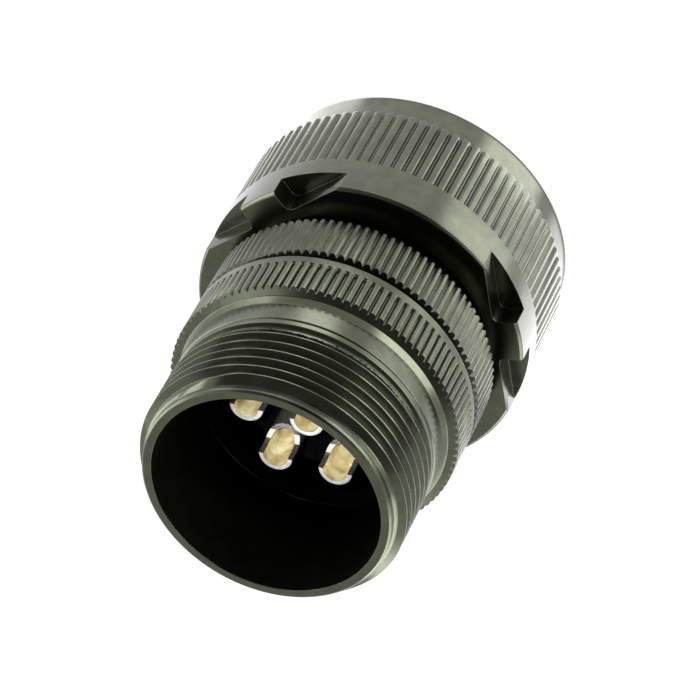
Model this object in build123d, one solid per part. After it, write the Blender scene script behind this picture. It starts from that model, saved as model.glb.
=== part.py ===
from build123d import *
import math
import os

# Z runs up the plug's axis from the mating end (Z = 0) to the cable mouth; the keyway faces -Y.
key_angle = -90.0

# Named clearances
running = 0.05
seat = 0.05
insert_fit = 0.05
travel_gap = 0.087

# Front shell, from its insert bore outwards
nose_bore_diameter = 24.3
nose_wall = 1.3
nose_length = 9.6
nose_chamfer = 0.25
journal_step = 1.35
insert_step = 0.7
tenon_wall = 1.2
keyway_width = 3.2
keyway_length = 8.0
keyway_depth = 2.5

# Knurled rings of both shells
knurl_ring_step = 2.39
knurl_ring_teeth = 102
knurl_ring_depth = 0.45
knurl_ring_crest = 0.38
knurl_face_width = 1.09
knurl_face_rise = 0.43
shell_knurl_length = 5.55
bell_knurl_length = 4.35
bell_band_length = 0.95
joint_gap = 1.2
knurl_overlap = 0.2

# Coupling nut (1 1/4-18 UNEF over the nose and the receptacle's wall)
receptacle_wall = 2.425
coupling_thread_pitch = 25.4 / 18
coupling_thread_start = 1.0
coupling_thread_turns = 5
nut_wall = 2.975
nut_length = 18.8
nut_travel = 2.5
nut_lip_length = 4.0
nut_lip_depth = 0.7
nut_lip_round = 0.8
nut_lip_step = 0.35
nut_knurl_length = 9.54
nut_knurl_teeth = 90
nut_knurl_depth = 0.45
nut_knurl_crest = 0.48
nut_rear_chamfer = 0.5
nut_rear_wall_length = 7.3
nut_relief_depth = 0.175
spanner_flats = 3
spanner_flat_inset = 2.9
spanner_flat_depth = 2.7
spanner_tooth_width = 5.0
spanner_corner = 0.8
nut_turn = -49.5

# Nut retaining ring
lock_ring_setback = 2.5
lock_ring_thickness = 1.0
lock_ring_reach = 0.55
lock_ring_width = 1.2
lock_ring_split = 3.0
lock_groove_depth = 1.2

# Accessory thread (1 3/16-18 UNEF), mouth and collar of the end bell
rear_thread_step = 1.36
rear_thread_pitch = 25.4 / 18
rear_thread_crests = 6
thread_flat = 0.18
mouth_wall = 2.25
rim_step = 1.35
rim_chamfer = 0.21
pilot_length = 0.66
first_crest_depth = 1.62
relief_depth = 0.98
relief_width = 0.9
relief_edge_depth = 0.23
relief_edge_width = 0.6
relief_edge_chamfer = 0.15
collar_depth = 0.08
collar_length = 2.42
flare_height = 0.8
tenon_length = 5.863

# Inserts and the ring that holds them
front_insert_height = 4.5
insert_flange = 1.5
rear_insert_length = 7.4
insert_ring_length = 4.55
insert_ring_width = 1.81
socket_lip = 0.5
socket_hole_clearance = 0.25
gasket_thickness = 0.7
gasket_margin = 0.4
joint_ring_section = 1.1

# Contacts
outer_contacts = 6
contact_circle = 13.7
contact_turn = 30.0
contact_diameter = 3.85
socket_wall = 0.7
socket_bore_depth = 10.0
socket_slit = 0.4
socket_slit_length = 7.0
contact_flange_step = 0.675
contact_flange_height = 1.1
cup_wall = 0.55
cup_rise = 1.8
cup_bore_depth = 7.2
cup_scoop_length = 3.35
cup_scoop_ramp = 1.9
sleeve_wall = 0.2
sleeve_length = 8.5

# Diameters that follow
nose_diameter = nose_bore_diameter + 2 * nose_wall
journal_diameter = nose_diameter + 2 * journal_step
rear_bore_diameter = nose_bore_diameter + 2 * insert_step
tenon_diameter = rear_bore_diameter + 2 * tenon_wall
knurl_ring_diameter = tenon_diameter + 2 * knurl_ring_step
coupling_thread_diameter = nose_diameter + 2 * receptacle_wall
nut_relief_diameter = coupling_thread_diameter + 2 * nut_relief_depth
nut_diameter = coupling_thread_diameter + 2 * nut_wall
nut_lip_diameter = nut_diameter - 2 * nut_lip_depth
wall_bore_diameter = journal_diameter + 2 * running
knurl_core_diameter = nut_diameter - 2 * nut_knurl_depth
ring_crest = knurl_ring_diameter / 2
ring_core = ring_crest - knurl_ring_depth
lock_ring_radius = journal_diameter / 2 + lock_ring_reach
lock_ring_inner = lock_ring_radius - lock_ring_width
rear_thread_diameter = knurl_ring_diameter - 2 * rear_thread_step
mouth_diameter = rear_thread_diameter - 2 * mouth_wall
rim_diameter = rear_thread_diameter - 2 * rim_step
rim_outer = rim_diameter / 2 + rim_chamfer
collar_diameter = rear_thread_diameter - 2 * collar_depth
insert_diameter = nose_bore_diameter - 2 * insert_fit
insert_flange_diameter = rear_bore_diameter - 2 * insert_fit
cup_radius = contact_diameter / 2
socket_bore_diameter = contact_diameter - 2 * socket_wall
contact_flange_diameter = contact_diameter + 2 * contact_flange_step

# Heights that follow, from the mating end up
lock_ring_height = nut_length - nut_rear_wall_length + lock_ring_setback
nut_wall_height = nut_length - nut_rear_wall_length
nut_knurl_top = nut_lip_length + nut_knurl_length
shell_knurl_bottom = nut_length + nut_travel + travel_gap
shell_knurl_top = shell_knurl_bottom + shell_knurl_length
bell_bottom = shell_knurl_top + joint_gap
bell_knurl_bottom = bell_bottom + bell_band_length
bell_knurl_top = bell_knurl_bottom + bell_knurl_length
bell_shoulder = bell_bottom + tenon_length
flare_bottom = bell_knurl_top + knurl_face_rise
collar_bottom = flare_bottom + flare_height
collar_top = collar_bottom + collar_length
relief_bottom = collar_top + relief_edge_chamfer + relief_edge_width
relief_top = relief_bottom + relief_width
thread_depth = 0.6134 * rear_thread_pitch
last_crest = relief_top + rear_thread_pitch * 0.7
first_crest = last_crest + (rear_thread_crests - 1) * rear_thread_pitch
overall_length = first_crest + first_crest_depth
pilot_end = overall_length - rim_chamfer - pilot_length
tenon_top = bell_shoulder - seat
rear_insert_height = tenon_top - insert_ring_length
insert_split = rear_insert_height - rear_insert_length
insert_step_height = insert_split - insert_flange
flange_bottom = insert_split - contact_flange_height
socket_bottom = front_insert_height + socket_lip
cup_top = tenon_top + cup_rise

def turned(points):
    """Solid of revolution about Z from (radius, height) points."""
    return revolve(Plane.XZ * make_face(Polyline(*points, close=True)), Axis.Z)


def cylinder(radius, low, high):
    return Pos(0, 0, low) * extrude(Circle(radius), high - low)


def polar(radius, angle):
    return radius * math.cos(math.radians(angle)), radius * math.sin(math.radians(angle))


def star(diameter, depth, crest, teeth, phase=0.0):
    """Face of a straight knurl: flat crests with sharp V grooves between them."""
    points = []
    half_crest = math.degrees(crest / diameter)
    for tooth in range(teeth):
        middle = phase + tooth * 360 / teeth
        points.append(polar(diameter / 2, middle - half_crest))
        points.append(polar(diameter / 2, middle + half_crest))
        points.append(polar(diameter / 2 - depth, middle + 180 / teeth))
    return make_face(Polyline(*points, close=True))


def knurled_ring(low, high):
    """Teeth of a shell's ring, their upper ends cut to the shallow cone of its end face."""
    slope = knurl_face_rise / knurl_face_width
    inside = ring_core - knurl_overlap
    limit = turned([
        (inside, low),
        (ring_crest + 1, low),
        (ring_crest + 1, high - slope),
        (inside, high + (ring_crest - inside) * slope),
    ])
    teeth = star(knurl_ring_diameter, knurl_ring_depth, knurl_ring_crest, knurl_ring_teeth)
    return Pos(0, 0, low) * extrude(teeth, high - low + knurl_face_rise) & limit


def thread_profile(diameter, pitch, depth, crest_heights, side):
    """Crest and root points of V turns; side is -1 for an outside thread, 1 for an inside one."""
    crest = diameter / 2
    root = crest + side * depth
    half_root = pitch / 2 - thread_flat / 2
    points = []
    for count, height in enumerate(crest_heights):
        points.append((crest, height + thread_flat / 2))
        points.append((crest, height - thread_flat / 2))
        if count < len(crest_heights) - 1:
            points.append((root, height - half_root))
            points.append((root, height - pitch + half_root))
    return points


def contact_centres():
    centres = [(0.0, 0.0)]
    for count in range(outer_contacts):
        centres.append(polar(contact_circle / 2, key_angle + contact_turn + count * 360 / outer_contacts))
    return centres


def end_bell():
    crests = [first_crest - turn * rear_thread_pitch for turn in range(rear_thread_crests)]
    relief = rear_thread_diameter / 2 - relief_depth
    edge = rear_thread_diameter / 2 - relief_edge_depth
    collar = collar_diameter / 2
    outline = [
        (mouth_diameter / 2, overall_length),
        (rim_diameter / 2, overall_length),
        (rim_outer, overall_length - rim_chamfer),
        (rim_outer, pilot_end),
    ]
    outline += thread_profile(rear_thread_diameter, rear_thread_pitch, thread_depth, crests, -1)
    outline += [
        (relief, relief_top),
        (relief, relief_bottom + (edge - relief)),
        (edge, relief_bottom),
        (edge, relief_bottom - relief_edge_width),
        (collar, collar_top),
        (collar, collar_bottom),
        (ring_crest - knurl_face_width, flare_bottom),
        (ring_core, bell_knurl_top + knurl_ring_depth * knurl_face_rise / knurl_face_width),
        (ring_core, bell_knurl_bottom + knurl_ring_depth / 2),
        (ring_crest, bell_knurl_bottom),
        (ring_crest, bell_bottom),
        (tenon_diameter / 2 + seat, bell_bottom),
        (tenon_diameter / 2 + seat, bell_shoulder),
        (mouth_diameter / 2, bell_shoulder),
    ]
    return turned(outline) + knurled_ring(bell_knurl_bottom, bell_knurl_top)


def front_shell():
    nose = nose_diameter / 2
    journal = journal_diameter / 2
    groove = journal - lock_groove_depth
    groove_low = lock_ring_height - seat
    groove_high = lock_ring_height + lock_ring_thickness + nut_travel + seat
    face_inner = ring_crest - knurl_face_width
    outline = [
        (nose_bore_diameter / 2, nose_chamfer),
        (nose_bore_diameter / 2 + nose_chamfer, 0),
        (nose - nose_chamfer, 0),
        (nose, nose_chamfer),
        (nose, nose_length),
        (journal, nose_length),
        (journal, groove_low),
        (groove, groove_low),
        (groove, groove_high),
        (journal, groove_high),
        (journal, shell_knurl_bottom),
        (ring_core, shell_knurl_bottom),
        (ring_core, shell_knurl_top + knurl_ring_depth * knurl_face_rise / knurl_face_width),
        (face_inner, shell_knurl_top + knurl_face_rise),
        (face_inner, shell_knurl_top),
        (tenon_diameter / 2, shell_knurl_top),
        (tenon_diameter / 2, tenon_top),
        (rear_bore_diameter / 2, tenon_top),
        (rear_bore_diameter / 2, insert_step_height),
        (nose_bore_diameter / 2, insert_step_height),
    ]
    body = turned(outline) + knurled_ring(shell_knurl_bottom, shell_knurl_top)
    slot = Box(nose_length, keyway_width, keyway_length, align=(Align.MIN, Align.CENTER, Align.MIN))
    slot = Rot(0, 0, key_angle) * Pos(nose - keyway_depth, 0, 0) * slot
    return body - slot


def spanner_notches():
    """Cutters for both notches of every flat; the tooth between them stays."""
    outer = nut_diameter
    low = nut_length - spanner_flat_depth
    length = nut_diameter
    cutters = []
    for flat in range(spanner_flats):
        for side in (-1, 1):
            block = Box(
                outer,
                length,
                spanner_flat_depth * 2,
                align=(Align.MIN, Align.MIN if side > 0 else Align.MAX, Align.MIN),
            )
            block = Pos(nut_diameter / 2 - spanner_flat_inset, side * spanner_tooth_width / 2, low) * block
            corner = block.edges().filter_by(Axis.Z).group_by(Axis.X)[0]
            inner = min(corner, key=lambda edge: abs(edge.center().Y))
            block = fillet(inner, spanner_corner)
            cutters.append(Rot(0, 0, nut_turn + flat * 360 / spanner_flats) * block)
    return cutters


def coupling_nut():
    outer = nut_diameter / 2
    lip = nut_lip_diameter / 2
    core = knurl_core_diameter / 2
    wall_bore = wall_bore_diameter / 2
    groove = lock_ring_radius + running
    depth = 0.5413 * coupling_thread_pitch
    crests = []
    for turn in range(coupling_thread_turns):
        crests.append(coupling_thread_start + (turn + 0.5) * coupling_thread_pitch)
    crest_radius = coupling_thread_diameter / 2 - depth
    top_crest = crests[-1]
    inside = thread_profile(2 * crest_radius, coupling_thread_pitch, depth, crests[::-1], 1)
    relief = nut_relief_diameter / 2
    outline = [
        (lip - nut_lip_round, 0),
        (lip - 0.3 * nut_lip_round, 0.3 * nut_lip_round),
        (lip, nut_lip_round),
        (lip, nut_lip_length - nut_lip_step),
        (outer, nut_lip_length),
        (core, nut_lip_length + 0.6 * nut_knurl_depth),
        (core, nut_knurl_top - nut_knurl_depth),
        (outer, nut_knurl_top),
        (outer, nut_length - nut_rear_chamfer),
        (outer - nut_rear_chamfer, nut_length),
        (wall_bore + 0.2, nut_length),
        (wall_bore, nut_length - 0.2),
        (wall_bore, lock_ring_height + lock_ring_thickness + running),
        (groove, lock_ring_height + lock_ring_thickness + running),
        (groove, lock_ring_height - running),
        (wall_bore, lock_ring_height - running),
        (wall_bore, nut_wall_height),
        (relief, nut_wall_height),
        (relief, top_crest + coupling_thread_pitch),
    ]
    outline += inside
    outline += [
        (coupling_thread_diameter / 2, coupling_thread_start - 0.2),
        (coupling_thread_diameter / 2 + 0.3, 0),
    ]
    body = turned(outline)
    knurl = star(nut_diameter, nut_knurl_depth, nut_knurl_crest, nut_knurl_teeth)
    ring = Pos(0, 0, nut_lip_length) * extrude(knurl, nut_knurl_length)
    ring -= cylinder(relief + 0.5, nut_lip_length, nut_knurl_top)
    body = body + ring
    for cutter in spanner_notches():
        body -= cutter
    return body


def nut_retaining_ring():
    low = lock_ring_height
    ring = cylinder(lock_ring_radius, low, low + lock_ring_thickness)
    ring -= cylinder(lock_ring_inner, low, low + lock_ring_thickness)
    gap = Box(2 * lock_ring_radius, lock_ring_split, 4 * lock_ring_thickness)
    gap = Rot(0, 0, key_angle + 180) * Pos(lock_ring_radius, 0, low) * gap
    return ring - gap


def flange_gasket():
    outer = journal_diameter / 2 - gasket_margin
    ring = cylinder(outer, nose_length - gasket_thickness, nose_length)
    return ring - cylinder(nose_diameter / 2 + seat, nose_length - gasket_thickness, nose_length)


def shell_joint_ring():
    radius = tenon_diameter / 2 + seat + joint_ring_section / 2
    section = Plane.XZ * Pos(radius, shell_knurl_top + joint_gap / 2) * Circle(joint_ring_section / 2)
    return revolve(section, Axis.Z)


def front_insert():
    low = front_insert_height
    body = cylinder(insert_diameter / 2, low, insert_step_height + seat)
    body += cylinder(insert_flange_diameter / 2, insert_step_height + seat, insert_split)
    sleeve_radius = cup_radius + sleeve_wall + insert_fit
    for x, y in contact_centres():
        hole = (socket_bore_diameter + socket_hole_clearance) / 2
        body -= Pos(x, y, 0) * cylinder(hole, low, socket_bottom)
        body -= Pos(x, y, 0) * cylinder(sleeve_radius, socket_bottom, socket_bottom + sleeve_length + seat)
        body -= Pos(x, y, 0) * cylinder(cup_radius + insert_fit, socket_bottom, insert_split)
        recess = contact_flange_diameter / 2 + insert_fit
        body -= Pos(x, y, 0) * cylinder(recess, flange_bottom - seat, insert_split)
    return body


def rear_insert():
    body = cylinder(insert_flange_diameter / 2, insert_split + seat, rear_insert_height)
    for x, y in contact_centres():
        body -= Pos(x, y, 0) * cylinder(cup_radius + insert_fit, insert_split, rear_insert_height)
    return body


def insert_retaining_ring():
    ring = cylinder(insert_flange_diameter / 2, rear_insert_height + seat, tenon_top)
    return ring - cylinder(rear_bore_diameter / 2 - insert_ring_width, rear_insert_height, tenon_top)


def scoop():
    """Cutter that opens one side of a solder cup, down to a ramp through its wall."""
    floor = cup_top - cup_scoop_length
    side = [
        (0, cup_top),
        (0, floor + cup_scoop_ramp),
        (cup_scoop_ramp, floor),
        (contact_diameter, floor),
        (contact_diameter, cup_top),
    ]
    return extrude(Plane.XZ * make_face(Polyline(*side, close=True)), contact_diameter, both=True)


def contact():
    low = socket_bottom + seat
    socket = socket_bore_diameter / 2
    cup = cup_radius - cup_wall
    body = cylinder(cup_radius, low, cup_top)
    body += cylinder(contact_flange_diameter / 2, flange_bottom, insert_split)
    body -= cylinder(socket, low, low + socket_bore_depth)
    body -= cylinder(cup, cup_top - cup_bore_depth, cup_top)
    for turn in (0, 90):
        middle_low = (Align.CENTER, Align.CENTER, Align.MIN)
        slit = Box(2 * contact_diameter, socket_slit, socket_slit_length, align=middle_low)
        body -= Rot(0, 0, turn) * Pos(0, 0, low) * slit
    return body - Rot(0, 0, key_angle) * scoop()


def socket_sleeve():
    low = socket_bottom + seat
    ring = cylinder(cup_radius + sleeve_wall, low, low + sleeve_length)
    return ring - cylinder(cup_radius + 0.01, low, low + sleeve_length)


def build_all():
    pieces = {
        "front_shell": front_shell(),
        "end_bell": end_bell(),
        "coupling_nut": coupling_nut(),
        "nut_retaining_ring": nut_retaining_ring(),
        "flange_gasket": flange_gasket(),
        "shell_joint_ring": shell_joint_ring(),
        "front_insert": front_insert(),
        "rear_insert": rear_insert(),
        "insert_retaining_ring": insert_retaining_ring(),
    }
    one_contact = contact()
    one_sleeve = socket_sleeve()
    for number, (x, y) in enumerate(contact_centres(), start=1):
        pieces["contact_%d" % number] = Pos(x, y, 0) * one_contact
        pieces["socket_sleeve_%d" % number] = Pos(x, y, 0) * one_sleeve
    return pieces


os.makedirs("parts", exist_ok=True)
for name, piece in build_all().items():
    solids = piece.solids()
    export_step(Compound(children=list(solids)) if len(solids) > 1 else solids[0], "parts/" + name + ".step")
    print(name, len(solids), round(sum(solid.volume for solid in solids), 2))
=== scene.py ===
import bmesh
import bpy
import math
import mathutils
import random
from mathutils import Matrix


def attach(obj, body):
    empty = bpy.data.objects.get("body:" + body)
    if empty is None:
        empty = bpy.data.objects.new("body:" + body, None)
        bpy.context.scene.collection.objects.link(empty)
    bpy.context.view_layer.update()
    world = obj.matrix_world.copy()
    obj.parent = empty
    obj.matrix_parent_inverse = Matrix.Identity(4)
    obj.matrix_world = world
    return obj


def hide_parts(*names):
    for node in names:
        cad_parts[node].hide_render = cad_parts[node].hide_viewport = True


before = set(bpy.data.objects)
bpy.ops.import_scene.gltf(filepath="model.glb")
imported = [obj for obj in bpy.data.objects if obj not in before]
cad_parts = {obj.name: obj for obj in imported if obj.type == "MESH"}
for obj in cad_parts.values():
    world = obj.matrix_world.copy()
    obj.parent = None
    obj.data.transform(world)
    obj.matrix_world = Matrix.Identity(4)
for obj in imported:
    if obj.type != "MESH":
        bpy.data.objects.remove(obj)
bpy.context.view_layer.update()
mm = 0.001             # sizes and places below are in mm, and angles in degrees
zAxis = (0, 0, 1)
middle = (0, 0, 0)
tolerance = 0.001      # mm within which two measures count as the same
wallMargin = 0.01      # mm by which the middle of a flat face may lie off the round wall that it belongs to
cameraSide = -110.4    # azimuth of the side that faces the camera, in degrees
keySide = -90.0        # azimuth of the keyway
print("frame loaded")

view = {
    "place": (-110.4, -295.77, 357.85),    # mm, from the view fitted to the photograph
    "turn": (-39.486, 19.380, -178.463),   # degrees
    "lens": 217.0,
}
cameraData = bpy.data.cameras.new("photoCamera")
cameraData.lens = view["lens"]
cameraData.sensor_width = 36.0
cameraData.clip_start = 0.01
cameraData.clip_end = 20.0
camera = bpy.data.objects.new("photoCamera", cameraData)
camera.location = [value * mm for value in view["place"]]
camera.rotation_euler = [math.radians(value) for value in view["turn"]]
bpy.context.collection.objects.link(camera)
bpy.context.scene.camera = camera
bpy.context.scene.view_settings.view_transform = "Standard"


def linearColour(hexCode):
    # the sRGB curve, from a screen's colour code to linear light
    channels = [int(hexCode[place:place + 2], 16) / 255 for place in (1, 3, 5)]
    linear = [value / 12.92 if value <= 0.04045 else ((value + 0.055) / 1.055) ** 2.4 for value in channels]
    return (*linear, 1.0)


def addNode(tree, kind, settings=None, links=None):
    node = tree.nodes.new("ShaderNode" + kind)
    for name, value in (settings or {}).items():
        if isinstance(name, int) or name in node.inputs:
            node.inputs[name].default_value = value
        else:
            setattr(node, name, value)
    for name, source in (links or {}).items():
        tree.links.new(source, node.inputs[name])
    return node


def newMaterial(name):
    material = bpy.data.materials.new(name)
    material.use_nodes = True
    material.node_tree.nodes.clear()
    return material, material.node_tree


def twoColours(tree, source, dark, light, low=0.35, high=0.65):
    ramp = addNode(tree, "ValToRGB", links={"Fac": source})
    for stop, place, colour in zip(ramp.color_ramp.elements, (low, high), (dark, light)):
        stop.position = place
        stop.color = linearColour(colour)
    return ramp.outputs["Color"]


def noise(tree, place, size, detail):
    # size is that of the noise's spots
    settings = {"Scale": 1 / (size * mm), "Detail": detail}
    return addNode(tree, "TexNoise", settings, {"Vector": place}).outputs["Fac"]


def surface(name, finish):
    # the mottle drives both the colour and the roughness, and the grain is bump only
    grainDepth = 0.01
    material, tree = newMaterial(name)
    place = addNode(tree, "TexCoord").outputs["Object"]
    mottle = noise(tree, place, finish["mottle"], 3.0)
    grain = noise(tree, place, finish["grain"], 2.0)
    colour = twoColours(tree, mottle, finish["dark"], finish["light"])
    rough = addNode(tree, "MapRange", {"To Min": finish["rough"][0], "To Max": finish["rough"][1]},
                    {"Value": mottle}).outputs["Result"]
    softEdge = addNode(tree, "Bevel", {"samples": 4, "Radius": finish["edge"] * mm}).outputs["Normal"]
    bump = addNode(tree, "Bump", {"Strength": finish["bump"], "Distance": grainDepth * mm},
                   {"Height": grain, "Normal": softEdge}).outputs["Normal"]
    shader = addNode(tree, "BsdfPrincipled",
                     {"Metallic": finish["metal"], "Specular IOR Level": finish.get("shine", 0.5)},
                     {"Base Color": colour, "Roughness": rough, "Normal": bump})
    addNode(tree, "OutputMaterial", links={"Surface": shader.outputs["BSDF"]})
    return material


# Black zinc-nickel plate over turned aluminium: satin olive-grey, bright only where a softbox shows in it
blackPlate = surface("blackZincNickelPlate", {
    "dark": "#4f5346", "light": "#575b4c", "mottle": 1.6, "grain": 0.16,
    "rough": (0.2, 0.26), "edge": 0.06, "bump": 0.2, "metal": 1.0,
})
# The same plate inside the mouth and on the ring round the insert: duller, and almost black because shade is
# painted into its colour
mouthShadePlate = surface("paintedShadeMouthPlate", {
    "dark": "#202219", "light": "#262820", "mottle": 1.6, "grain": 0.16,
    "rough": (0.4, 0.5), "edge": 0.07, "bump": 0.25, "metal": 1.0,
})
# Moulded insert, as dull as it left the mould
mouldedBlack = surface("mouldedBlackInsert", {
    "dark": "#030303", "light": "#050505", "mottle": 0.8, "grain": 0.2,
    "rough": (0.6, 0.75), "edge": 0.05, "bump": 0.2, "metal": 0.0, "shine": 0.02,
})
# Moulded nitrile rubber: matt, slightly grey
nitrile = surface("mouldedNitrileRubber", {
    "dark": "#141413", "light": "#1b1b19", "mottle": 0.7, "grain": 0.12,
    "rough": (0.6, 0.75), "edge": 0.05, "bump": 0.3, "metal": 0.0,
})
# Silver plate on turned brass: white and bright
silverPlate = surface("silverPlatedBrass", {
    "dark": "#dcd9ce", "light": "#f2efe8", "mottle": 0.8, "grain": 0.14,
    "rough": (0.16, 0.24), "edge": 0.07, "bump": 0.1, "metal": 0.97,
})
# The milled edges of the cups, which scatter the light
cutEdge = surface("milledCupEdge", {
    "dark": "#dcd9ce", "light": "#f2efe8", "mottle": 0.8, "grain": 0.14,
    "rough": (0.3, 0.4), "edge": 0.05, "bump": 0.2, "metal": 0.6,
})
# Inside of the cups: gold flash over drilled brass, pale and softly bright
goldFlash = surface("goldFlashedCup", {
    "dark": "#b5a068", "light": "#efe5b8", "mottle": 1.5, "grain": 0.16,
    "rough": (0.22, 0.3), "edge": 0.04, "bump": 0.2, "metal": 0.5,
})
# Blued spring steel: dark and smooth
springSteel = surface("bluedSpringSteel", {
    "dark": "#3a3b3f", "light": "#4a4b4e", "mottle": 1.2, "grain": 0.15,
    "rough": (0.25, 0.35), "edge": 0.05, "bump": 0.1, "metal": 1.0,
})
print("materials made")


def beside(corner, other):
    # a plain point just past a rounding, which keeps the rounding's shading off the long face next to it
    gap = 0.03
    share = (corner[2] + gap) / math.dist(corner[:2], other[:2])
    return (corner[0] + (other[0] - corner[0]) * share, corner[1] + (other[1] - corner[1]) * share)


def turnedShape(outline, steps):
    # outline points are (radius, height) or (radius, height, rounding)
    # an outline either starts and ends on the axis, or closes
    largeRounding = 0.3     # has more segments
    weldWithin = 0.0002
    points = []
    for number, point in enumerate(outline):
        if len(point) > 2:
            following = outline[(number + 1) % len(outline)]
            points += [beside(point, outline[number - 1]), point, beside(point, following)]
        else:
            points.append(point)
    shape = bmesh.new()
    corners = [shape.verts.new((point[0] * mm, 0, point[1] * mm)) for point in points]
    ends = corners[1:] + corners[:1] if points[0][0] > 0 else corners[1:]
    for pair in zip(corners, ends):
        shape.edges.new(pair)
    for corner, point in zip(corners, points):
        if len(point) > 2:
            segments = 4 if point[2] < largeRounding else 9
            bmesh.ops.bevel(shape, geom=[corner], offset=point[2] * mm, affect="VERTICES", segments=segments,
                            profile=0.5, material=-1)
    bmesh.ops.spin(shape, geom=shape.verts[:] + shape.edges[:], cent=middle, axis=zAxis, angle=math.tau,
                   steps=steps, use_merge=True)
    bmesh.ops.remove_doubles(shape, verts=shape.verts, dist=weldWithin * mm)
    bmesh.ops.recalc_face_normals(shape, faces=shape.faces)
    return shape


def block(size):
    # a block with its middle at the origin
    shape = bmesh.new()
    bmesh.ops.create_cube(shape, size=1.0)
    bmesh.ops.scale(shape, verts=shape.verts, vec=[value * mm for value in size])
    return shape


def roundEdges(shape, edges, radius, segments):
    bmesh.ops.bevel(shape, geom=edges, offset=radius * mm, affect="EDGES", segments=segments, profile=0.5,
                    material=-1)


def turnRound(shape, degrees):
    # turns the shape round the plug's axis
    turn = mathutils.Matrix.Rotation(math.radians(degrees), 3, "Z")
    bmesh.ops.rotate(shape, verts=shape.verts, cent=middle, matrix=turn)


def join(shape, other):
    # adds the other shape to the first one
    mesh = bpy.data.meshes.new("joined")
    other.to_mesh(mesh)
    other.free()
    shape.from_mesh(mesh)
    bpy.data.meshes.remove(mesh)


def carve(shape, cutter):
    # takes the cutter's shape out of the piece's
    objects = []
    for form in (shape, cutter):
        mesh = bpy.data.meshes.new("carving")
        form.to_mesh(mesh)
        form.free()
        objects.append(bpy.data.objects.new("carving", mesh))
        bpy.context.collection.objects.link(objects[-1])
    modifier = objects[0].modifiers.new("cut", "BOOLEAN")
    modifier.operation = "DIFFERENCE"
    modifier.solver = "EXACT"
    modifier.object = objects[1]
    shown = objects[0].evaluated_get(bpy.context.evaluated_depsgraph_get())
    carved = bmesh.new()
    carved.from_mesh(shown.to_mesh())
    shown.to_mesh_clear()
    for thing in objects:
        mesh = thing.data
        bpy.data.objects.remove(thing)
        bpy.data.meshes.remove(mesh)
    return carved


def finishPiece(shape, name, body, nodes, finishes, softBelow):
    # edges that turn by less than softBelow are shaded smooth
    mesh = bpy.data.meshes.new(name)
    shape.to_mesh(mesh)
    shape.free()
    for finish in finishes:
        mesh.materials.append(finish)
    mesh.shade_smooth()
    mesh.set_sharp_from_angle(angle=math.radians(softBelow))
    piece = bpy.data.objects.new(name, mesh)
    bpy.context.collection.objects.link(piece)
    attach(piece, body)
    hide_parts(*nodes)
    print(name, len(mesh.polygons), "faces")


# What all the knurls share: the plain wall past a knurl's end, where its ramps and its tip have points, and
# the eased edge of a tooth as (way past the edge of its crest, share of the knurl's depth)
knurlMargin = 0.05
rampShares = (0.0, 0.12, 0.35, 0.65, 1.0)
tipShares = (0, 0.08, 0.3, 0.6, 1)
toothEdge = ((-0.16, 0.0), (-0.04, 0.04), (0.06, 0.16))


def knurlColumns(knurl):
    # one rolled tooth from crest to crest, as (way round, share of the depth)
    pitch = math.tau * knurl["radius"] / knurl["teeth"]
    fall = [(knurl["crest"] / 2 + past, depth) for past, depth in toothEdge]
    fall.append(((pitch - knurl["floor"]) / 2, 1.0))
    return fall + [(pitch - way, depth) for way, depth in reversed(fall)]


def cutKnurl(shape, knurl):
    # presses the teeth into the columns of the turned shape
    columns = knurlColumns(knurl)
    pitch = math.tau / knurl["teeth"]
    for vert in shape.verts:
        height = vert.co.z / mm
        radius = math.hypot(vert.co.x, vert.co.y) / mm
        between = knurl["low"] - tolerance < height < knurl["high"] + tolerance
        if not between or abs(radius - knurl["radius"]) > 2 * tolerance:
            continue
        tooth, column = divmod(round(math.atan2(vert.co.y, vert.co.x) / pitch * len(columns)), len(columns))
        way, depth = columns[column]
        drop = knurl["depth"] * depth
        if 0 < knurl["lowRun"] > height - knurl["low"]:
            drop = min(drop, knurl["depth"] * max(height - knurl["low"], 0) / knurl["lowRun"])
        if 0 < knurl["highRun"] > knurl["high"] - height:
            rise = max(knurl["high"] - height, 0) / knurl["highRun"]
            drop = min(drop, knurl["depth"] * math.sqrt(1 - (1 - rise) ** 2))
        if 0 < knurl["tip"] > height - knurl["low"]:
            rise = max(height - knurl["low"], 0) / knurl["tip"]
            drop = max(drop, knurl["depth"] * (1 - math.sqrt(1 - (1 - rise) ** 2)))
        turn = tooth * pitch + way / knurl["radius"]
        vert.co.x = (knurl["radius"] - drop) * mm * math.cos(turn)
        vert.co.y = (knurl["radius"] - drop) * mm * math.sin(turn)
        if height > knurl["high"] - tolerance:
            vert.co.z += drop * knurl["faceSlope"] * mm


def knurledShape(outline, knurl):
    shape = turnedShape(outline, len(knurlColumns(knurl)) * knurl["teeth"])
    cutKnurl(shape, knurl)
    return shape


# Fine turned thread: a ridge wound round the bell's root cylinder, with a faded start, that runs out into the
# relief; its start is in degrees round from the camera's side
thread = {
    "root": 14.21, "crest": 15.08, "midFlank": 14.66, "sunk": 0.24, "flat": 0.14, "flankAngle": 30,
    "pitch": 25.4 / 18, "turns": 6.3, "steps": 144, "startHeight": 47.0, "start": -66.0,
    "fade": 32.0, "fadeSunk": 0.06, "fadeBelow": 0.5, "ragged": 0.012, "raggedRange": (-1, 0.4),
    "cutHeight": 38.74, "cutRadius": 14.4,
}


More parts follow.
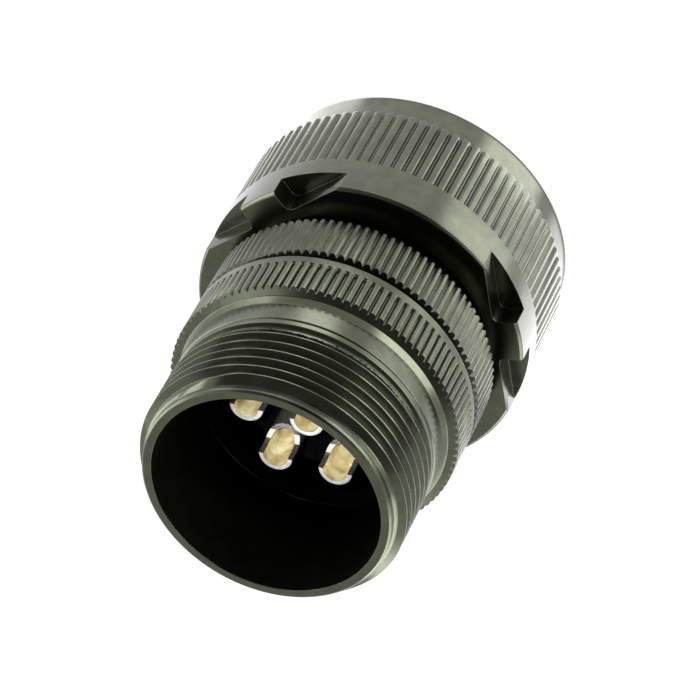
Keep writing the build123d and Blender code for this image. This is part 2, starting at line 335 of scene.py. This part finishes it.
def threadRidge(thread):
    ridge = bmesh.new()
    outline = []
    slope = math.tan(math.radians(thread["flankAngle"]))
    for radius in (thread["root"] - thread["sunk"], thread["midFlank"], thread["crest"]):
        outline.append((radius, (thread["crest"] - radius) * slope + thread["flat"] / 2))
    outline = [(radius, -reach) for radius, reach in outline] + outline[::-1]
    lowest = thread["startHeight"] - thread["turns"] * thread["pitch"]
    corners = [ridge.verts.new((radius * mm, 0, (lowest + height) * mm)) for radius, height in outline]
    edges = [ridge.edges.new(pair) for pair in zip(corners, corners[1:] + corners[:1])]
    azimuth = math.radians(cameraSide - thread["start"]) - math.tau * thread["turns"]
    bmesh.ops.rotate(ridge, verts=corners, cent=middle, matrix=mathutils.Matrix.Rotation(azimuth, 3, "Z"))
    count = round(thread["steps"] * thread["turns"])
    rise = thread["turns"] * thread["pitch"] / count
    bmesh.ops.spin(ridge, geom=corners + edges, cent=middle, axis=zAxis, dvec=(0, 0, rise * mm),
                   angle=math.tau * thread["turns"], steps=count)
    chance = random.Random(7)
    fadeStart = thread["startHeight"] - thread["pitch"] * thread["fade"] / 360
    sunkRoot = thread["root"] - thread["fadeSunk"]
    for vert in ridge.verts:
        height = vert.co.z / mm
        radius = math.hypot(vert.co.x, vert.co.y) / mm
        if radius < thread["root"]:
            continue
        wanted = radius + chance.uniform(*thread["raggedRange"]) * thread["ragged"]
        if height < thread["cutHeight"]:
            wanted = min(wanted, thread["cutRadius"])
        side = math.degrees(math.atan2(vert.co.y, vert.co.x)) - (cameraSide - thread["start"])
        behind = -((side + 180) % 360 - 180)    # degrees behind the thread's start
        if height > fadeStart - thread["fadeBelow"] and 0 <= behind < thread["fade"]:
            wanted = sunkRoot + (wanted - sunkRoot) * behind / thread["fade"]
        vert.co.xy *= wanted / radius
    openEdges = [edge for edge in ridge.edges if edge.is_boundary]
    bmesh.ops.holes_fill(ridge, edges=openEdges, sides=0)
    bmesh.ops.recalc_face_normals(ridge, faces=ridge.faces)
    return ridge


# The knurl that both the end bell and the front shell have on a ring. Its grooves run out over lowRun and
# highRun at their ends, its teeth are rounded off over tip at the low end, and faceSlope is that of the
# cone above it
ringKnurl = {
    "radius": 16.44, "depth": 0.42, "crest": 0.42, "floor": 0.1, "teeth": 102,
    "highRun": 0.0, "tip": 0.0, "faceSlope": 0.394,
}

# End bell: mouth, thread, run-out with its burr, collar, flare and knurled ring; the valley's heights and the
# burr's edges and foot are measured from the burr's height
bell = {
    "length": 48.4, "bore": 12.83, "rim": 13.73, "rimRound": 0.04, "rimChamfer": 0.21, "brightRim": 0.1,
    "pilot": (13.94, 13.96), "pilotEnd": 47.53, "pilotSlope": 0.3,
    "valley": 14.0, "valleyHeights": (0.12, 0.6, 0.75),
    "burr": 14.6, "burrHeight": 38.72, "burrEdges": (-0.02, 0.04), "burrFoot": -0.16,
    "burrOut": (-0.13, 0.1), "burrUp": (-0.08, 0.05),    # how far the torn edge strays
    "relief": 14.42, "reliefBottom": 38.08,
    "edge": 14.85, "edgeSpan": (37.237, 37.837), "edgeRound": 0.04,
    "collar": 15.0, "collarSpan": (34.667, 37.087), "collarRounds": (0.06, 0.03),
    "flare": (15.35, 33.867, 0.05), "bottom": 28.137, "bottomRound": 0.08, "socket": 14.1, "shoulder": 34.0,
    "knurl": {**ringKnurl, "low": 29.1, "high": 33.437, "lowRun": 0.22}, "softBelow": 34,
}
knurl = bell["knurl"]
valleyLow, valleyHigh, valleyTop = [bell["burrHeight"] + height for height in bell["valleyHeights"]]
outline = [
    (bell["bore"], bell["length"], bell["rimRound"]),
    (bell["rim"], bell["length"]),
    (bell["pilot"][0], bell["length"] - bell["rimChamfer"]),
    (bell["pilot"][1], bell["pilotEnd"]),
    (thread["root"], bell["pilotEnd"] - bell["pilotSlope"]),
    (thread["root"], valleyTop),
    (bell["valley"], valleyHigh),
    (bell["valley"], valleyLow),
    (bell["burr"], bell["burrHeight"] + bell["burrEdges"][1]),
    (bell["burr"], bell["burrHeight"] + bell["burrEdges"][0]),
    (bell["relief"], bell["burrHeight"] + bell["burrFoot"]),
    (bell["relief"], bell["reliefBottom"]),
    (bell["edge"], bell["edgeSpan"][1], bell["edgeRound"]),
    (bell["edge"], bell["edgeSpan"][0]),
    (bell["collar"], bell["collarSpan"][1], bell["collarRounds"][1]),
    (bell["collar"], bell["collarSpan"][0], bell["collarRounds"][0]),
    bell["flare"],
    (knurl["radius"], knurl["high"]),
]
outline += [(knurl["radius"], knurl["low"] + knurl["lowRun"] * share) for share in reversed(rampShares)]
outline += [
    (knurl["radius"], knurl["low"] - knurlMargin),
    (knurl["radius"], bell["bottom"], bell["bottomRound"]),
    (bell["socket"], bell["bottom"]),
    (bell["socket"], bell["shoulder"]),
    (bell["bore"], bell["shoulder"]),
]
bellShape = knurledShape(outline, knurl)
chance = random.Random(3)
for vert in bellShape.verts:
    radius = math.hypot(vert.co.x, vert.co.y) / mm
    if abs(radius - bell["burr"]) < tolerance:
        vert.co.xy *= 1 + chance.uniform(*bell["burrOut"]) / radius
        vert.co.z += chance.uniform(*bell["burrUp"]) * mm
join(bellShape, threadRidge(thread))
# the mouth's wall below a thin band at the rim takes the plate with painted shade
for face in bellShape.faces:
    spot = face.calc_center_median()
    inBore = math.hypot(spot.x, spot.y) < (bell["bore"] + wallMargin) * mm
    if inBore and spot.z < (bell["length"] - bell["brightRim"]) * mm:
        face.material_index = 1
finishPiece(bellShape, "threadedEndBell", "plug_shell", ["end_bell"],
            [blackPlate, mouthShadePlate], bell["softBelow"])


# Front shell: the solid with its plain V knurl turned off and a rolled one put on
shell = {
    "wall": 14.9, "seam": 0.02, "core": 15.7, "face": (15.35, 27.367),
    "cutterMargin": 0.01, "cutterReach": 1.0, "cutterSteps": 180,
    "knurl": {**ringKnurl, "low": 21.387, "high": 26.937, "lowRun": 0.0}, "softBelow": 34,
}
knurl = shell["knurl"]
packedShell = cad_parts["front_shell"]
shellShape = bmesh.new()
shellShape.from_mesh(packedShell.data)
bmesh.ops.transform(shellShape, matrix=packedShell.matrix_world, verts=shellShape.verts)
bmesh.ops.remove_doubles(shellShape, verts=shellShape.verts, dist=tolerance * mm)
cutterLow = knurl["low"] - shell["cutterMargin"]
cutterHigh = shell["face"][1] + shell["cutterMargin"]
cutterRadius = knurl["radius"] + shell["cutterReach"]
turnedOff = turnedShape([
    (shell["wall"], cutterLow),
    (cutterRadius, cutterLow),
    (cutterRadius, cutterHigh),
    (shell["wall"], cutterHigh),
], shell["cutterSteps"])
shellShape = carve(shellShape, turnedOff)
join(shellShape, knurledShape([
    (shell["wall"] - shell["seam"], knurl["low"]),
    (shell["core"], knurl["low"]),
    (knurl["radius"], knurl["low"]),
    (knurl["radius"], knurl["high"]),
    shell["face"],
    (shell["face"][0], knurl["high"]),
    (shell["wall"] - shell["seam"], knurl["high"]),
], knurl))
finishPiece(shellShape, "knurledFrontShell", "plug_shell", ["front_shell"],
            [blackPlate], shell["softBelow"])


# Coupling nut: rounded lip, knurl with arched groove ends, band with three pairs of spanner notches;
# the mouth is given as how much wider than the thread and how deep it is
nut = {
    "length": 18.8, "lip": 18.15, "lipTop": 3.98, "lipRound": 0.75, "band": 18.85, "chamfer": 0.3,
    "chamferRound": 0.08, "bore": 14.85, "boreChamfer": 0.2, "groove": 15.4, "grooveSpan": (13.95, 15.05),
    "wall": 11.5, "relief": 16.05, "mouth": (0.3, 0.8), "threadRadius": 15.875, "threadDepth": 0.764,
    "threadPitch": 25.4 / 18, "threadTurns": 5, "threadStart": 1.0, "threadFlat": 0.18, "softBelow": 34,
    "knurl": {
        "radius": 18.85, "depth": 0.42, "crest": 0.54, "floor": 0.12, "teeth": 90, "low": 4.02, "high": 13.54,
        "lowRun": 0.0, "highRun": 0.3, "tip": 0.4, "faceSlope": 0.0,
    },
}
notch = {"flats": 3, "distance": 15.95, "depth": 2.7, "tooth": 5.0, "corner": 0.8, "turn": -49.5}


def spannerNotches(notch, nut):
    # one block on each side of each short tooth; the block's edge beside the tooth is rounded
    cutters = bmesh.new()
    size = (nut["band"], nut["band"] * 2, notch["depth"] * 2)
    for flat in range(notch["flats"]):
        for side in (-1, 1):
            cutter = block(size)
            inner = [edge for edge in cutter.edges
                     if all(vert.co.x < 0 and vert.co.y * side < 0 for vert in edge.verts)]
            roundEdges(cutter, inner, notch["corner"], segments=5)
            place = (notch["distance"] + size[0] / 2, side * (notch["tooth"] + size[1]) / 2, nut["length"])
            bmesh.ops.translate(cutter, verts=cutter.verts, vec=[value * mm for value in place])
            turnRound(cutter, notch["turn"] + flat * 360 / notch["flats"])
            join(cutters, cutter)
    return cutters


knurl = nut["knurl"]
outline = [
    (nut["threadRadius"] + nut["mouth"][0], 0),
    (nut["lip"], 0, nut["lipRound"]),
    (nut["lip"], nut["lipTop"]),
]
outline += [(knurl["radius"], knurl["low"] + knurl["tip"] * share) for share in tipShares]
outline += [(knurl["radius"], knurl["high"] - knurl["highRun"] * share) for share in reversed(rampShares)]
outline += [
    (nut["band"], knurl["high"] + knurlMargin),
    (nut["band"], nut["length"] - nut["chamfer"], nut["chamferRound"]),
    (nut["band"] - nut["chamfer"], nut["length"], nut["chamferRound"]),
    (nut["bore"] + nut["boreChamfer"], nut["length"]),
    (nut["bore"], nut["length"] - nut["boreChamfer"]),
    (nut["bore"], nut["grooveSpan"][1]),
    (nut["groove"], nut["grooveSpan"][1]),
    (nut["groove"], nut["grooveSpan"][0]),
    (nut["bore"], nut["grooveSpan"][0]),
    (nut["bore"], nut["wall"]),
    (nut["relief"], nut["wall"]),
]
top = nut["threadStart"] + nut["threadTurns"] * nut["threadPitch"]
outline.append((nut["relief"], top + nut["threadPitch"] / 2))
crest = nut["threadRadius"] - nut["threadDepth"]
flank = (nut["threadPitch"] - nut["threadFlat"]) / 2
for turn in range(nut["threadTurns"]):
    height = top - (turn + 0.5) * nut["threadPitch"]
    outline += [(crest, height + nut["threadFlat"] / 2), (crest, height - nut["threadFlat"] / 2)]
    if turn < nut["threadTurns"] - 1:
        outline.append((nut["threadRadius"], height - flank))
        outline.append((nut["threadRadius"], height - nut["threadPitch"] + flank))
outline.append((nut["threadRadius"], nut["mouth"][1]))
nutShape = carve(knurledShape(outline, knurl), spannerNotches(notch, nut))
finishPiece(nutShape, "knurledCouplingNut", "nut", ["coupling_nut"],
            [blackPlate], nut["softBelow"])


# Contacts, one on the axis and the others on a circle round it: a solder cup above and a slit socket below
cup = {
    "count": 7, "circle": 6.85, "firstTurn": 30.0, "steps": 48, "softBelow": 35,
    "radius": 1.925, "bottom": 5.05, "top": 35.75, "tipBevel": 0.2,
    "bore": 1.375, "boreDepth": 7.2, "boreRound": 0.05, "drillPoint": 0.6,
    "flange": 2.6, "flangeSpan": (20.85, 21.95), "flangeRound": 0.1,
    "socket": 1.225, "socketDepth": 10.0, "socketRound": 0.12, "slit": 0.4, "slitLength": 7.0,
    "scoop": 3.35, "scoopCorner": 1.9, "scoopReach": 4.0, "cutterWidth": 6.0,
}
boreFloor = cup["top"] - cup["boreDepth"]
socketFloor = cup["bottom"] + cup["socketDepth"]
cupShape = turnedShape([
    (0, boreFloor - cup["drillPoint"]),
    (cup["bore"], boreFloor),
    (cup["bore"], cup["top"], cup["boreRound"]),
    (cup["radius"], cup["top"], cup["tipBevel"]),
    (cup["radius"], cup["flangeSpan"][1]),
    (cup["flange"], cup["flangeSpan"][1], cup["flangeRound"]),
    (cup["flange"], cup["flangeSpan"][0], cup["flangeRound"]),
    (cup["radius"], cup["flangeSpan"][0]),
    (cup["radius"], cup["bottom"], cup["socketRound"]),
    (cup["socket"], cup["bottom"], cup["socketRound"]),
    (cup["socket"], socketFloor),
    (0, socketFloor + cup["drillPoint"]),
], cup["steps"])
for turn in (0, 90):
    slit = block((cup["cutterWidth"], cup["slit"], 2 * cup["slitLength"]))
    turnRound(slit, turn)
    bmesh.ops.translate(slit, verts=slit.verts, vec=(0, 0, cup["bottom"] * mm))
    cupShape = carve(cupShape, slit)
scoop = block((cup["scoopReach"], cup["cutterWidth"], 2 * cup["scoop"]))
corner = [edge for edge in scoop.edges if all(vert.co.x < 0 and vert.co.z < 0 for vert in edge.verts)]
roundEdges(scoop, corner, cup["scoopCorner"], segments=3)
bmesh.ops.translate(scoop, verts=scoop.verts, vec=(cup["scoopReach"] / 2 * mm, 0, cup["top"] * mm))
turnRound(scoop, keySide)
cupShape = carve(cupShape, scoop)


def cupFinish(face):
    # 1 for the bore's wall and floor, 2 for the milled edges that look up, 0 for the rest
    mostRise = 0.1      # of a bore wall's normal
    leastInward = 0.9   # of a bore wall's normal
    leastRise = 0.4     # of a milled edge's normal
    below = 0.1         # what still counts as milled under the scoop
    spot = face.calc_center_median()
    away = mathutils.Vector((spot.x, spot.y, 0))
    if away.length < (cup["bore"] + wallMargin) * mm and spot.z > (boreFloor - 2 * cup["drillPoint"]) * mm:
        upright = abs(face.normal.z) < mostRise
        inward = face.normal.dot(away) < -leastInward * away.length
        return 1 if upright and inward or spot.z < boreFloor * mm else 0
    milled = spot.z > (cup["top"] - cup["scoop"] - below) * mm
    return 2 if milled and face.normal.z > leastRise else 0


for face in cupShape.faces:
    face.material_index = cupFinish(face)
for number in range(cup["count"]):
    copy = cupShape.copy()
    if number:
        turn = math.radians(keySide + cup["firstTurn"] + (number - 1) * 360 / (cup["count"] - 1))
        reach = cup["circle"] * mm
        bmesh.ops.translate(copy, verts=copy.verts, vec=(reach * math.cos(turn), reach * math.sin(turn), 0))
    node = "contact_%d" % (number + 1)
    finishPiece(copy, "solderCup%d" % (number + 1), "plug_shell", [node],
                [silverPlate, goldFlash, cutEdge], cup["softBelow"])
cupShape.free()

# The imported pieces that show as they are; the sleeves are silver plated, and the ring round the insert
# takes the plate with painted shade
nodeFinish = {
    "nut_retaining_ring": springSteel, "flange_gasket": nitrile, "shell_joint_ring": nitrile,
    "front_insert": mouldedBlack, "rear_insert": mouldedBlack, "insert_retaining_ring": mouthShadePlate,
}
for name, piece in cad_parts.items():
    for holder in piece.material_slots:
        holder.material = nodeFinish.get(name, silverPlate)
print("pieces made")

# Paper floor: glows white to the camera and in reflections, and scatters all other light as paper does
floorLook = {"size": 2000, "paper": (0.8, 0.8, 0.8, 1), "faint": (0.12, 0.12, 0.12, 1), "glow": 0.9}
whiteLight = (1, 1, 1, 1)
floorMesh = bpy.data.meshes.new("floor")
floorShape = bmesh.new()
bmesh.ops.create_grid(floorShape, x_segments=1, y_segments=1, size=floorLook["size"] * mm)
floorShape.to_mesh(floorMesh)
floorShape.free()
floor = bpy.data.objects.new("floor", floorMesh)
bpy.context.collection.objects.link(floor)
paint, tree = newMaterial("palePaperFloor")
path = addNode(tree, "LightPath")
seen = path.outputs["Is Camera Ray"]
for ray in ("Is Glossy Ray", "Is Transmission Ray"):
    seen = addNode(tree, "Math", {"operation": "MAXIMUM"}, {0: seen, 1: path.outputs[ray]}).outputs[0]
paper = addNode(tree, "BsdfDiffuse", {"Color": floorLook["paper"]})
faint = addNode(tree, "BsdfDiffuse", {"Color": floorLook["faint"]})
white = addNode(tree, "Emission", {"Color": whiteLight, "Strength": floorLook["glow"]})
bright = addNode(tree, "AddShader", links={0: white.outputs[0], 1: faint.outputs[0]})
mixed = addNode(tree, "MixShader", links={0: seen, 1: paper.outputs[0], 2: bright.outputs[0]})
addNode(tree, "OutputMaterial", links={"Surface": mixed.outputs[0]})
floorMesh.materials.append(paint)

world = bpy.data.worlds.new("paleStudio")
bpy.context.scene.world = world
world.use_nodes = True
world.node_tree.nodes.clear()
sky = addNode(world.node_tree, "Background", {"Color": whiteLight, "Strength": 1.0})
addNode(world.node_tree, "OutputWorld", links={"Surface": sky.outputs[0]})


def studioCard(shape, name, strength, soft=False):
    # a card that shows only in reflections, as the softboxes and flags round the real plug do, faintly violet
    cardColour = (1, 0.97, 1.04, 1)
    mesh = bpy.data.meshes.new(name)
    shape.to_mesh(mesh)
    shape.free()
    piece = bpy.data.objects.new(name, mesh)
    bpy.context.collection.objects.link(piece)
    glow, glowTree = newMaterial(name)
    light = addNode(glowTree, "Emission", {"Color": cardColour, "Strength": strength}).outputs[0]
    if soft:
        share = addNode(glowTree, "Attribute", {"attribute_name": "glow"}).outputs["Fac"]
        clear = addNode(glowTree, "BsdfTransparent").outputs[0]
        light = addNode(glowTree, "MixShader", links={0: share, 1: clear, 2: light}).outputs[0]
    addNode(glowTree, "OutputMaterial", links={"Surface": light})
    mesh.materials.append(glow)
    piece.visible_camera = False
    piece.visible_diffuse = False
    piece.visible_transmission = False
    piece.visible_shadow = False


# Each card lies on the floor where one round wall of the plug shows it to the camera: the wall's radius and
# heights, and the sides of it as the way round from the camera's side
wallCards = {
    "nutCard": {"wall": 18.6, "heights": (0, 19.5), "sides": (-95, 95), "strength": 1.65},
    "lipLeftCard": {"wall": 18.15, "heights": (0, 4.2), "sides": (-95, -38), "strength": 3.8},
    "nutLeftCard": {"wall": 18.85, "heights": (4.2, 19.5), "sides": (-95, -42), "strength": 1.8},
    "nutRightCard": {"wall": 18.6, "heights": (0, 19.5), "sides": (5, 38), "strength": 5.4},
    "knurlRightCard": {"wall": 18.85, "heights": (4.2, 13.5), "sides": (5, 38), "strength": 3.2},
    "nutFarRightCard": {"wall": 18.6, "heights": (0, 19.5), "sides": (44, 95), "strength": 3.7},
    "ringLeftCard": {"wall": 16.44, "heights": (21, 27), "sides": (-66, -5), "strength": 0.7},
    "ringRightCard": {"wall": 16.44, "heights": (21, 25.4), "sides": (30, 90), "strength": 3.2},
    "bellCard": {"wall": 16.44, "heights": (29, 34), "sides": (-50, 35), "strength": 1.8},
    "bellLeftCard": {"wall": 16.44, "heights": (27.5, 34), "sides": (-68, -35), "strength": 2.2},
    "bellRightCard": {"wall": 16.44, "heights": (27, 29.5), "sides": (6, 30), "strength": 5.0},
    "bellFarRightCard": {"wall": 16.44, "heights": (31, 34.5), "sides": (38, 90), "strength": 3.6},
    "collarLeftCard": {"wall": 15.0, "heights": (33.8, 41), "sides": (-27, -5), "strength": 8.5},
    "collarRightCard": {"wall": 15.0, "heights": (33.8, 41), "sides": (9, 37), "strength": 2.7},
    "bandShadeCard": {"wall": 16.44, "heights": (25.8, 28.9), "sides": (36, 90), "strength": 0.3},
    "pilotLeftCard": {"wall": 13.94, "heights": (46.5, 60), "sides": (-48, -8), "strength": 4.0},
    "pilotRightCard": {"wall": 13.94, "heights": (46, 60), "sides": (5, 37), "strength": 8.0},
}
slant = 0.942       # way along the floor for each mm of height, down the camera's line of sight
feather = 6.0       # how far round from its ends a card fades
firstLift = 0.1     # from the floor up to the first card
nextLift = 0.03     # from each card up to the next
for number, (name, card) in enumerate(wallCards.items()):
    cardShape = bmesh.new()
    bmesh.ops.create_grid(cardShape, x_segments=40, y_segments=3, size=0.5)
    glow = cardShape.verts.layers.float.new("glow")
    first, last = card["sides"]
    low, high = card["heights"]
    for vert in cardShape.verts:
        side = first + (last - first) * (vert.co.x + 0.5)
        way = slant * (low + (high - low) * (vert.co.y + 0.5))
        vert[glow] = min(1, (side - first) / feather, (last - side) / feather)
        outward = math.radians(cameraSide - side)
        mirrored = math.radians(cameraSide - 2 * side)
        vert.co = ((card["wall"] * math.cos(outward) + way * math.cos(mirrored)) * mm,
                   (card["wall"] * math.sin(outward) + way * math.sin(mirrored)) * mm,
                   (firstLift + number * nextLift) * mm)
    studioCard(cardShape, name, card["strength"], soft=True)

# Cards in the air: the dark room behind the camera, darkest round the lens, and a dark ceiling with one lit
# panel in it
skyCards = {
    "lensCard": {"side": 0, "rise": 46.7, "distance": 550, "radius": 150, "strength": 0.03},
    "roomCard": {"side": 0, "rise": 46.7, "distance": 580, "radius": 320, "strength": 0.3},
    "ceilingLeftCard": {"side": -130, "rise": 60, "distance": 560, "radius": 110, "strength": 3.2},
    "ceilingCard": {"side": -20, "rise": 78, "distance": 620, "radius": 660, "strength": 0.15},
}
for name, card in skyCards.items():
    turn = math.radians(cameraSide - card["side"])
    rise = math.radians(card["rise"])
    level = math.cos(rise)
    towards = mathutils.Vector((math.cos(turn) * level, math.sin(turn) * level, math.sin(rise)))
    facing = towards.to_track_quat("Z", "Y").to_matrix()
    cardShape = bmesh.new()
    bmesh.ops.create_circle(cardShape, cap_ends=True, segments=48, radius=card["radius"] * mm)
    bmesh.ops.rotate(cardShape, verts=cardShape.verts, cent=middle, matrix=facing)
    bmesh.ops.translate(cardShape, verts=cardShape.verts, vec=towards * card["distance"] * mm)
    studioCard(cardShape, name, card["strength"])


def placeLamp(lamp, box, aim):
    # aim is the height that the lamp looks at, on the plug's axis
    turn = math.radians(cameraSide - box["side"])
    reach = box["distance"] * mm
    lamp.location = (reach * math.cos(turn), reach * math.sin(turn), box["height"] * mm)
    away = lamp.location - mathutils.Vector((0, 0, aim * mm))
    lamp.rotation_euler = away.to_track_quat("Z", "Y").to_euler()
    lamp.visible_camera = False
    bpy.context.collection.objects.link(lamp)


softboxAim = 30
softboxes = {
    "rightSoftbox": {"side": 40, "distance": 170, "height": 50, "size": (170, 120), "radiance": 5.6},
    "farRightSoftbox": {"side": 120, "distance": 190, "height": 50, "size": (200, 120), "radiance": 4.5},
    "leftSoftbox": {"side": -100, "distance": 190, "height": 50, "size": (300, 120), "radiance": 3.8},
}
for name, box in softboxes.items():
    width, height = [value * mm for value in box["size"]]
    lampData = bpy.data.lights.new(name, "AREA")
    lampData.shape = "RECTANGLE"
    lampData.size = width
    lampData.size_y = height
    lampData.energy = box["radiance"] * math.pi * width * height
    placeLamp(bpy.data.objects.new(name, lampData), box, softboxAim)

# A narrow lamp down the mouth for the cups alone
mouthLamp = {"side": -10, "distance": 180, "height": 240, "aim": 34, "power": 8.5, "cone": 4.0, "radius": 4}
lampData = bpy.data.lights.new("mouthLamp", "SPOT")
lampData.energy = mouthLamp["power"]
lampData.spot_size = math.radians(mouthLamp["cone"])
lampData.shadow_soft_size = mouthLamp["radius"] * mm
lamp = bpy.data.objects.new("mouthLamp", lampData)
lamp.visible_glossy = False
placeLamp(lamp, mouthLamp, mouthLamp["aim"])
print("studio set")
